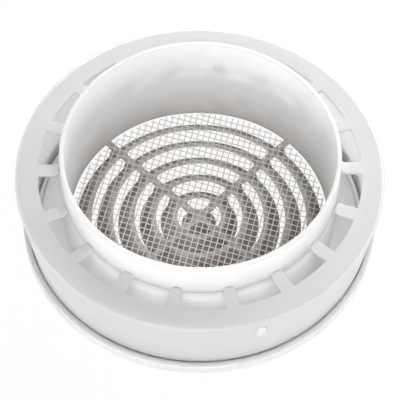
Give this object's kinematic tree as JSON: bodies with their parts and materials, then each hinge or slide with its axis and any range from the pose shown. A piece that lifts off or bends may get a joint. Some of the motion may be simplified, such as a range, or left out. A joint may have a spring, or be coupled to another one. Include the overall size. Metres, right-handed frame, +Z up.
{
  "type": "round vent cover",
  "caption": "Round white vent cover with a duct spigot, concentric louvre blades, an insect screen and a push-on clamp ring whose spring fingers grip the spigot.",
  "frame": {"origin": "centre of the front face, on the surface that the cover lies on face down", "axes": "+Z up the spigot, away from the front face"},
  "size_m": [0.1316, 0.1316, 0.047],
  "materials": {
    "white_plastic": "satin white moulding",
    "screen_mesh": "woven mesh",
    "ring_plastic": "satin white moulding"
  },
  "bodies": {
    "cover": {"grille_body": "white_plastic", "insect_screen": "screen_mesh"},
    "ring": {"clamp_ring": "ring_plastic"}
  },
  "joints": [
    {"name": "ring_slide", "type": "slide", "parent": "cover", "child": "ring", "axis": [0, 0, 1], "range_m": [0, 0.01]}
  ]
}
